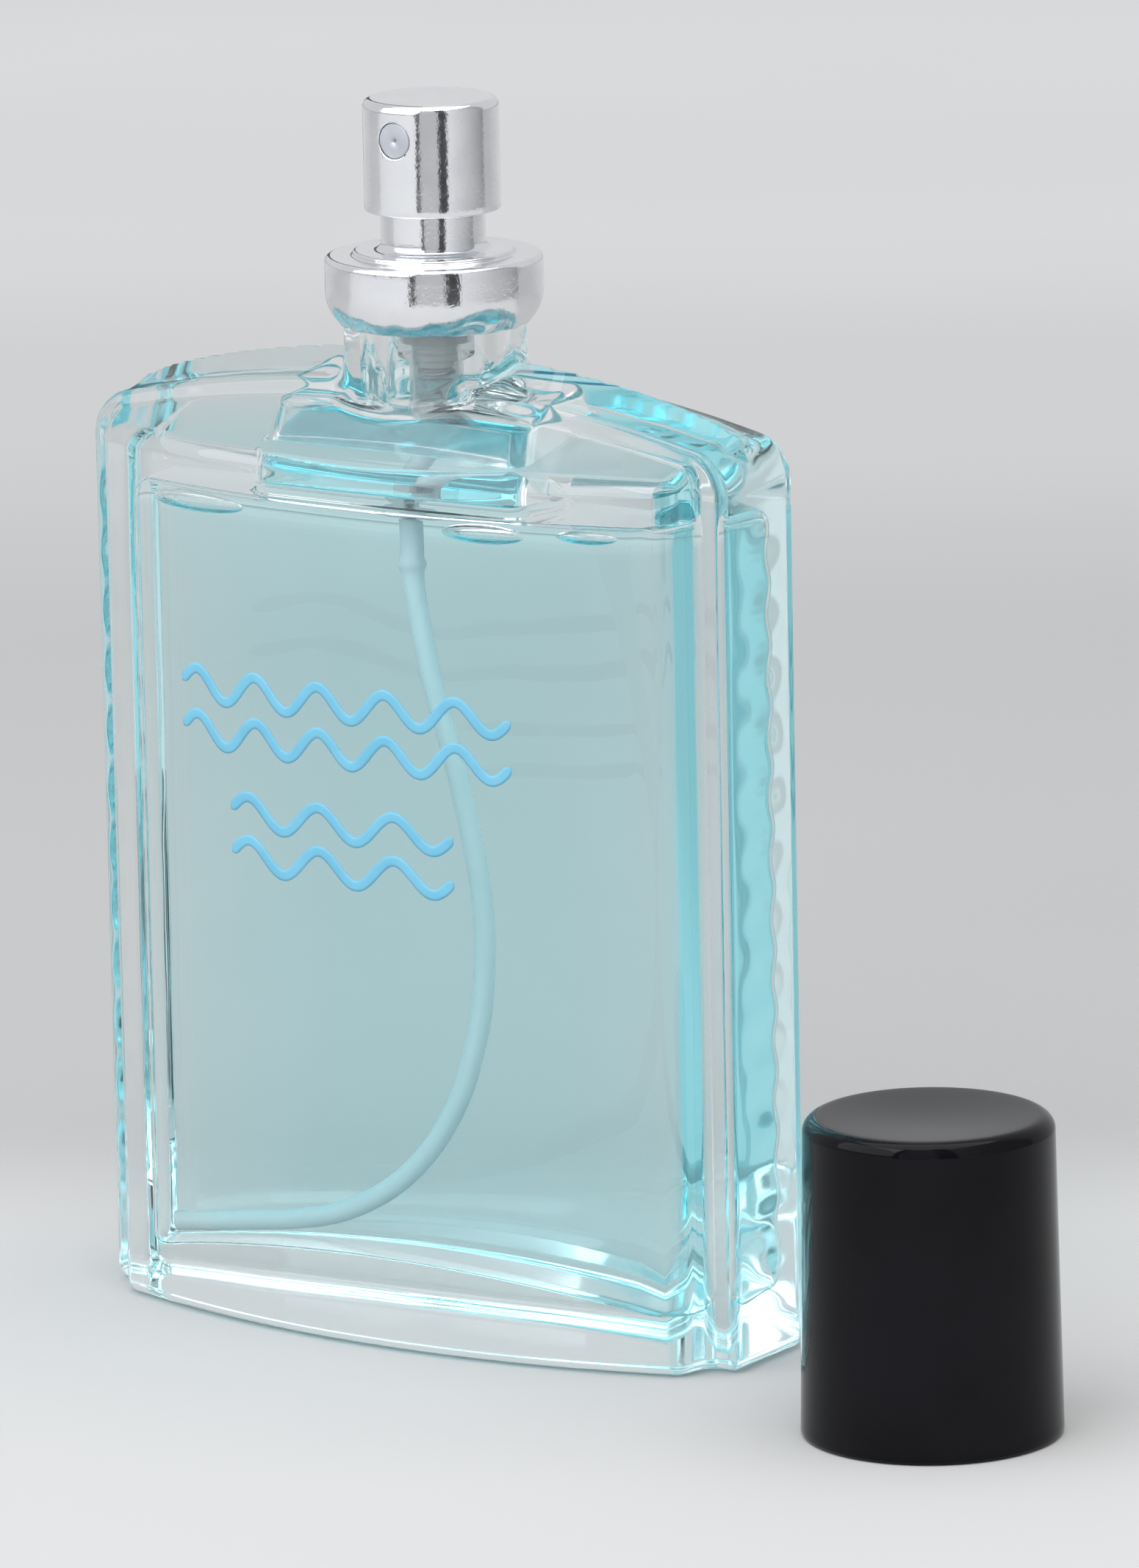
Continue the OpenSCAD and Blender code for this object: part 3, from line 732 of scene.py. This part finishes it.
def make_actuator():
    inner = ACTUATOR_R - SHEET
    profile = [(0, ACTUATOR_TOP), (2, ACTUATOR_TOP), (4, ACTUATOR_TOP)]
    profile += arc(ACTUATOR_R - 0.9, ACTUATOR_TOP - 0.9, 0.9, 90, 0, 12)
    profile += [(ACTUATOR_R, h) for h in np.linspace(121.9, 113.2, 12)]
    profile += arc(ACTUATOR_R - 0.15, ACTUATOR_LOW + 0.15, 0.15, 0, -90, 3)
    profile += arc(inner + 0.1, ACTUATOR_LOW + 0.1, 0.1, 270, 180, 2)
    profile += [(inner, h) for h in np.linspace(113.2, 121.9, 4)]
    profile += [(inner, ACTUATOR_TOP - SHEET - 0.5), (inner - 0.5, ACTUATOR_TOP - SHEET),
                (0, ACTUATOR_TOP - SHEET)]
    piece = lathe("spray_actuator", profile, 192)
    hole = lathe("hole", [(0, 0), (HOLE_R, 0), (HOLE_R, 5), (0, 5)], 96)
    hole.matrix_world = Matrix.Translation((0, -4 * MM, NOZZLE_H * MM)) @ Matrix.Rotation(math.pi / 2, 4, "X")
    cut = piece.modifiers.new("hole", "BOOLEAN")
    cut.operation = "DIFFERENCE"
    cut.solver = "EXACT"
    cut.object = hole
    apply_modifiers(piece)
    bpy.data.objects.remove(hole)
    bm = bmesh.new()
    bm.from_mesh(piece.data)

    def on_rim(v):
        away = math.hypot(v.co.x, v.co.z - NOZZLE_H * MM) / MM
        return abs(away - HOLE_R) < TINY and math.hypot(v.co.x, v.co.y) / MM > ACTUATOR_R - 0.05 \
            and v.co.y < 0
    rim = [e for e in bm.edges if all(on_rim(v) for v in e.verts)]
    bmesh.ops.bevel(bm, geom=rim, offset=0.12 * MM, segments=3, profile=0.5, affect="EDGES",
                    clamp_overlap=False)
    bmesh.ops.remove_doubles(bm, verts=bm.verts, dist=TINY * MM)
    bmesh.ops.dissolve_degenerate(bm, edges=bm.edges, dist=TINY * MM)
    for f in bm.faces:
        f.smooth = True
    bm.normal_update()
    normals = []
    for v in bm.verts:
        r, z = math.hypot(v.co.x, v.co.y) / MM, v.co.z / MM
        on_wall = abs(r - ACTUATOR_R) < 0.01 and ACTUATOR_LOW + 0.2 < z < ACTUATOR_TOP - 0.85
        normals.append(Vector((v.co.x, v.co.y, 0)).normalized() if on_wall else v.normal.copy())
    bm.to_mesh(piece.data)
    bm.free()
    piece.data.normals_split_custom_set_from_vertices(normals)
    return piece


def apply_modifiers(piece):
    bpy.context.view_layer.update()
    graph = bpy.context.evaluated_depsgraph_get()
    done = bpy.data.meshes.new_from_object(piece.evaluated_get(graph))
    piece.modifiers.clear()
    old = piece.data
    piece.data = done
    bpy.data.meshes.remove(old)


actuator = make_actuator()
finish_piece(actuator, "actuator", "silver_aluminium", "chrome", "actuator_shell")


def make_insert():
    """The round insert with its fine outlet, turned about the spray axis."""
    face = ACTUATOR_R - 0.25
    profile = [(0, 5.0), (0.9, 5.0), (0.9, 4.25), (NOZZLE_R - 0.1, 4.25)]
    profile += [(NOZZLE_R, 4.4), (NOZZLE_R, face - 0.2)]
    profile += arc(NOZZLE_R - 0.15, face - 0.15, 0.15, 0, 90, 4)
    profile += [(1.1, face), (0.42, face - 0.02), (0.2, face - 0.12), (0.15, face - 0.22),
                (0.12, face - 0.5), (0, face - 0.5)]
    piece = lathe("spray_insert", profile, 72)
    turn = Matrix.Translation((0, 0, NOZZLE_H * MM)) @ Matrix.Rotation(math.pi / 2, 4, "X")
    piece.data.transform(turn)
    outward(piece)
    return piece


insert = make_insert()
weighted(insert)
finish_piece(insert, "actuator", "nozzle_plastic", "insert", "nozzle_insert")
keep_node("actuator_core", "white")


# ---------------------------------------------------------------- pump in the neck

NIPPLE_LOW, CHAMBER_LOW, SEAT_LOW = 77.4, 84.4, 84.9
SPRING_LOW, SPRING_TOP, SPRING_R, WIRE_R = 87.4, 96.9, 1.72, 0.2
BARREL_R, BARREL_TOP, CUP_LOW, FLANGE_LOW, FLANGE_TOP = 2.2, 99.4, 97.9, 106.9, 107.46


def make_housing():
    chamber = BARREL_R + 0.5
    profile = [(0.5, NIPPLE_LOW), (0.8, NIPPLE_LOW), (1.1, NIPPLE_LOW + 0.7), (0.85, NIPPLE_LOW + 0.8),
               (0.85, CHAMBER_LOW - 0.3), (1.15, CHAMBER_LOW)]
    profile += arc(chamber - 0.6, CHAMBER_LOW + 0.6, 0.6, -90, 0, 5)
    profile += [(chamber, 88), (chamber, 92), (chamber, CUP_LOW - 0.4)]
    profile += arc(3.8 - 0.4, CUP_LOW + 0.4, 0.4, -60, 0, 4)
    profile += [(3.8, 101), (3.8, FLANGE_LOW), (9.15, FLANGE_LOW), (9.2, FLANGE_LOW + 0.05),
                (9.2, FLANGE_TOP - 0.05), (9.15, FLANGE_TOP), (3.2, FLANGE_TOP), (3.2, BARREL_TOP),
                (BARREL_R, BARREL_TOP), (BARREL_R, 93), (BARREL_R, SPRING_LOW), (1.25, SPRING_LOW),
                (1.25, SEAT_LOW + 0.7), (0.5, SEAT_LOW)]
    return lathe("pump_barrel", profile, 96, closed=True)


housing = make_housing()
weighted(housing)
finish_piece(housing, "bottle", "frosted_plastic", "frost", "pump_housing")


def make_spring():
    turns, steps = 7, 40
    closed = 2 * WIRE_R + 0.02
    length = SPRING_TOP - SPRING_LOW - 2 * WIRE_R - 0.04
    open_pitch = (length - 2 * closed) / (turns - 2)

    def rise(t):
        if t < 1:
            return t * closed
        if t > turns - 1:
            return length - (turns - t) * closed
        return closed + (t - 1) * open_pitch

    points, faces, sides = [], [], 12
    rings = turns * steps + 1
    for i in range(rings):
        t = i / steps
        a = 2 * math.pi * t
        for k in range(sides):
            b = 2 * math.pi * k / sides
            r = SPRING_R + WIRE_R * math.cos(b)
            points.append((r * math.cos(a), r * math.sin(a),
                           SPRING_LOW + 0.02 + WIRE_R + rise(t) + WIRE_R * math.sin(b)))
    for i in range(rings - 1):
        for k in range(sides):
            n = (k + 1) % sides
            faces.append((i * sides + k, (i + 1) * sides + k, (i + 1) * sides + n, i * sides + n))
    faces.append(list(range(sides)))
    faces.append([(rings - 1) * sides + k for k in range(sides)][::-1])
    piece = new_object("pump_spring", mesh_from("pump_spring", points, faces))
    outward(piece)
    return piece


spring = finish_piece(make_spring(), "bottle", "spring_steel", "steel", "return_spring")
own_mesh(spring)

for node, material in (("neck_gasket", "rubber"), ("stem_guide", "white"), ("stem_seal", "rubber"),
                       ("pump_stem", "white"), ("pump_piston", "white"), ("inlet_ball", "steel")):
    keep_node(node, material)


# ---------------------------------------------------------------- dip tube

TUBE_R, TUBE_BORE = 1.05, 0.65
SLEEVE_R, SLEEVE_BORE, SLEEVE_LOW = 1.2, 0.88, 77     # where the tube is stretched over the nipple
BARB_H = 77.7
# The tube's line in the plane y = 0, as (x, z): down from the nipple, then round to the far corner
TUBE_ROUTE = [(0, 84), (0, 80), (0, 76.8), (0.7, 72), (2, 65.5), (4, 58.5), (5.8, 51), (6.9, 44), (7, 37.5),
              (6.2, 31), (4, 24), (0.6, 18.2), (-4, 13.6), (-9.5, 10.5), (-15, 9),
              (-20, 8.2), (-25, 7.4), (-29.5, 6.7)]


def smooth_line(route, steps):
    """A smooth curve through the points of a route."""
    p = [Vector((x, 0, z)) for x, z in route]
    line = []
    for i in range(len(p) - 1):
        a, b, c, d = p[max(i - 1, 0)], p[i], p[i + 1], p[min(i + 2, len(p) - 1)]
        for k in range(steps):
            t = k / steps
            line.append(0.5 * (2 * b + (c - a) * t + (2 * a - 5 * b + 4 * c - d) * t * t
                               + (3 * b - a - 3 * c + d) * t ** 3))
    return line + [p[-1]]


def make_tube():
    line = smooth_line(TUBE_ROUTE, 8)

    def outer(s):
        z = line[round(s * (len(line) - 1))].z
        if z > SLEEVE_LOW:
            return SLEEVE_R + 0.3 * math.exp(-((z - BARB_H) / 0.5) ** 2)
        return TUBE_R + (SLEEVE_R - TUBE_R) * math.exp(z - SLEEVE_LOW)

    def bore(s):
        return SLEEVE_BORE if line[round(s * (len(line) - 1))].z > SLEEVE_LOW else TUBE_BORE
    return tube_mesh("suction_tube", line, outer, bore, 28)


finish_piece(make_tube(), "bottle", "frosted_plastic", "tube", "dip_tube")


# ---------------------------------------------------------------- cap

CAP_X, CAP_Y, CAP_H = 64.9, -13.7, 31.4
CAP_RIM_R, CAP_TOP_R, CAP_EDGE = 12.76, 12.2, 1.5


def make_cap():
    profile = [(11.5, 0.3), (11.6, 0.08), (11.8, 0)]
    profile += [(CAP_RIM_R - 0.35, 0), (CAP_RIM_R - 0.12, 0.08), (CAP_RIM_R, 0.35)]
    side_top = CAP_H - CAP_EDGE
    for s in np.linspace(0.02, 0.96, 14):
        profile.append((CAP_RIM_R + (CAP_TOP_R - CAP_RIM_R) * s, 0.35 + (side_top - 0.35) * s))
    profile += arc(CAP_TOP_R - CAP_EDGE, side_top, CAP_EDGE, 0, 90, 14)
    profile += [(r, CAP_H - 0.35 * math.cos(math.pi / 2 * r / (CAP_TOP_R - CAP_EDGE)) ** 1.2)
                for r in np.linspace(10.2, 0.6, 16)]
    profile += [(0, CAP_H - 0.35)]
    profile += [(0, CAP_H - 2.3), (11.3, CAP_H - 2.3), (11.5, CAP_H - 2.5), (11.5, 20), (11.5, 10)]
    return lathe("cap_cover", profile, 192, centre=(CAP_X, CAP_Y), closed=True)


cap = make_cap()
weighted(cap)
finish_piece(cap, "cap", "black_gloss", "black", "cap_shell")
keep_node("cap_liner", "liner")


# ---------------------------------------------------------------- floor, light and camera

# The floor's painted shade and light: its brightness graded along the line that runs back from the bottle,
# darker just behind it and lighter far back, as (metres, brightness)
FLOOR_BACK = (-0.504, 0.864, 0)
FLOOR_REACH = 0.9
FLOOR_PAINTED_SHADE_STOPS = [(0.030, 1.0), (0.082, 0.79), (0.16, 0.80), (0.32, 0.82), (0.5, 0.99), (0.66, 1.16),
               (0.86, 1.28)]
FLOOR_SHADE = 0.475
BOTTLE_MIDDLE = Vector((0, 0, 0.07))      # what the lamps and cards face
WORLD_LIGHT = 0.68


def make_floor():
    size, below = 9.0, -0.0001
    mesh = bpy.data.meshes.new("floor")
    mesh.from_pydata([(x * size, y * size, below) for x, y in ((-1, -1), (1, -1), (1, 1), (-1, 1))], [],
                     [(0, 1, 2, 3)])
    floor = new_object("floor", mesh)
    mat, nodes, links, shader = base_material("floor")
    tex = noise(nodes, links, 6.0, 3.0)
    shade = nodes.new("ShaderNodeMix")
    shade.data_type = "RGBA"
    shade.blend_type = "MULTIPLY"
    shade.inputs["Factor"].default_value = 1.0
    low, high = FLOOR_SHADE * 0.99, FLOOR_SHADE * 1.01
    tinted(nodes, links, tex, (low, low, low), (high, high, high), shade.inputs["A"])
    # Painted shade and light: a ramp of brightness along one fixed line back from the bottle, multiplied into
    # the floor's tone
    where = nodes.new("ShaderNodeTexCoord")
    along = nodes.new("ShaderNodeVectorMath")
    along.operation = "DOT_PRODUCT"
    along.inputs[1].default_value = [part / FLOOR_REACH for part in FLOOR_BACK]
    links.new(where.outputs["Object"], along.inputs[0])
    painted_shade = nodes.new("ShaderNodeValToRGB")
    painted_shade.color_ramp.interpolation = "EASE"
    for _ in FLOOR_PAINTED_SHADE_STOPS[2:]:
        painted_shade.color_ramp.elements.new(0.5)
    for stop, (metres, bright) in zip(painted_shade.color_ramp.elements, FLOOR_PAINTED_SHADE_STOPS):
        stop.position = metres / FLOOR_REACH
        stop.color = (bright, bright, bright, 1)
    links.new(along.outputs["Value"], painted_shade.inputs["Fac"])
    links.new(painted_shade.outputs["Color"], shade.inputs["B"])
    links.new(shade.outputs["Result"], shader.inputs["Base Color"])
    shader.inputs["Roughness"].default_value = 0.6
    shader.inputs["Specular IOR Level"].default_value = 0.0
    mesh.materials.append(mat)


def direction(azimuth, elevation):
    """The unit vector from the bottle out to a lamp, a card or the camera, from degrees."""
    a, e = math.radians(azimuth), math.radians(elevation)
    return Vector((math.sin(a) * math.cos(e), -math.cos(a) * math.cos(e), math.sin(e)))


def panel(name, azimuth, elevation, distance, width, height, power, colour):
    """A soft box that faces the bottle, placed by its direction from the bottle."""
    data = bpy.data.lights.new(name, "AREA")
    data.shape = "RECTANGLE"
    data.size, data.size_y = width, height
    data.energy = power
    data.color = colour
    lamp = bpy.data.objects.new(name, data)
    bpy.context.scene.collection.objects.link(lamp)
    back = direction(azimuth, elevation)
    lamp.location = BOTTLE_MIDDLE + back * distance
    lamp.rotation_mode = "QUATERNION"
    lamp.rotation_quaternion = back.to_track_quat("Z", "Y")
    lamp.visible_camera = False


def card(name, azimuth, elevation, distance, width, height, left, right):
    """A card that only reflections see, for the tones of the metal: from one shade to another."""
    w, h = width / 2, height / 2
    mesh = bpy.data.meshes.new(name)
    mesh.from_pydata([(-w, -h, 0), (w, -h, 0), (w, h, 0), (-w, h, 0)], [], [(0, 1, 2, 3)])
    board = new_object(name, mesh)
    back = direction(azimuth, elevation)
    board.location = BOTTLE_MIDDLE + back * distance
    board.rotation_mode = "QUATERNION"
    board.rotation_quaternion = back.to_track_quat("Z", "Y")
    mat, nodes, links, shader = base_material(name)
    where = nodes.new("ShaderNodeTexCoord")
    split = nodes.new("ShaderNodeSeparateXYZ")
    span = nodes.new("ShaderNodeMapRange")
    span.inputs["From Min"].default_value = -w
    span.inputs["From Max"].default_value = w
    span.inputs["To Min"].default_value = left
    span.inputs["To Max"].default_value = right
    links.new(where.outputs["Object"], split.inputs["Vector"])
    links.new(split.outputs["X"], span.inputs["Value"])
    links.new(span.outputs["Result"], shader.inputs["Base Color"])
    shader.inputs["Roughness"].default_value = 0.9
    mesh.materials.append(mat)
    board.visible_camera = False
    board.visible_transmission = False
    board.visible_diffuse = False
    board.visible_shadow = False


# The camera: degrees round and up, then metres, with its aim to the right of and above the origin
VIEW_AZ, VIEW_EL = 34.0, 12.45
VIEW_DISTANCE = 1.17288
VIEW_RIGHT, VIEW_HEIGHT = 0.01232, 0.05404
VIEW_ROLL = -0.02
LENS = 270.6


def make_camera():
    data = bpy.data.cameras.new("camera")
    data.lens = LENS
    data.sensor_width = 36
    data.sensor_fit = "AUTO"
    data.clip_start = 0.05
    data.clip_end = 50
    camera = bpy.data.objects.new("camera", data)
    bpy.context.scene.collection.objects.link(camera)
    a = math.radians(VIEW_AZ)
    back = direction(VIEW_AZ, VIEW_EL)
    right = Vector((math.cos(a), math.sin(a), 0))
    target = right * VIEW_RIGHT + Vector((0, 0, VIEW_HEIGHT))
    camera.location = target + back * VIEW_DISTANCE
    camera.rotation_mode = "QUATERNION"
    aim = back.to_track_quat("Z", "Y")
    roll = Matrix.Rotation(VIEW_ROLL, 4, "Z").to_quaternion()
    camera.rotation_quaternion = aim @ roll
    bpy.context.scene.camera = camera


def make_world():
    world = bpy.data.worlds.new("studio")
    world.use_nodes = True
    back = world.node_tree.nodes["Background"]
    back.inputs["Color"].default_value = (0.97, 0.98, 1.0, 1)
    back.inputs["Strength"].default_value = WORLD_LIGHT
    bpy.context.scene.world = world


# Soft boxes: name, degrees round from the camera, elevation, metres away, width, height, watts, colour
LAMPS = [
    ("key_left", -58, 36, 1.3, 1.8, 1.2, 11, (0.95, 0.97, 1.0)),
    ("fill_right", 66, 30, 1.5, 1.6, 1.1, 4, (1.0, 0.985, 0.97)),
    ("front_soft", -4, 44, 1.4, 1.3, 0.8, 6, (1, 1, 1)),
    ("overhead", 0, 84, 1.3, 1.6, 1.4, 12, (1, 1, 1)),
]
# Cards: name, degrees round from the camera, metres away, width, shades from left to right
CARD_EL, CARD_HEIGHT = 8, 1.2
CARDS = [
    ("grey_front", -3, 0.46, 0.27, 0.60, 0.64),
    ("grey_right", 63, 0.46, 0.68, 0.78, 0.34),
    ("dark_left", -22.5, 0.42, 0.045, 0.05, 0.05),
    ("dark_right", 19.5, 0.42, 0.11, 0.03, 0.05),
    ("grey_back", 180, 0.46, 0.20, 0.58, 0.64),
    ("dark_back", 188, 0.42, 0.04, 0.05, 0.05),
]

make_floor()
make_world()
make_camera()
for lamp_name, turn, *rest in LAMPS:
    panel(lamp_name, VIEW_AZ + turn, *rest)
for card_name, turn, distance, width, left, right in CARDS:
    card(card_name, VIEW_AZ + turn, CARD_EL, distance, width, CARD_HEIGHT, left, right)

scene = bpy.context.scene
scene.view_settings.view_transform = "Standard"
scene.cycles.max_bounces = 64
scene.cycles.diffuse_bounces = 16
scene.cycles.transmission_bounces = 60
scene.cycles.glossy_bounces = 12
scene.cycles.transparent_max_bounces = 16
scene.cycles.volume_bounces = 0
scene.cycles.caustics_refractive = True
scene.cycles.caustics_reflective = True
scene.cycles.blur_glossy = 0.3
scene.cycles.sample_clamp_indirect = 6.0
scene.cycles.use_denoising = True
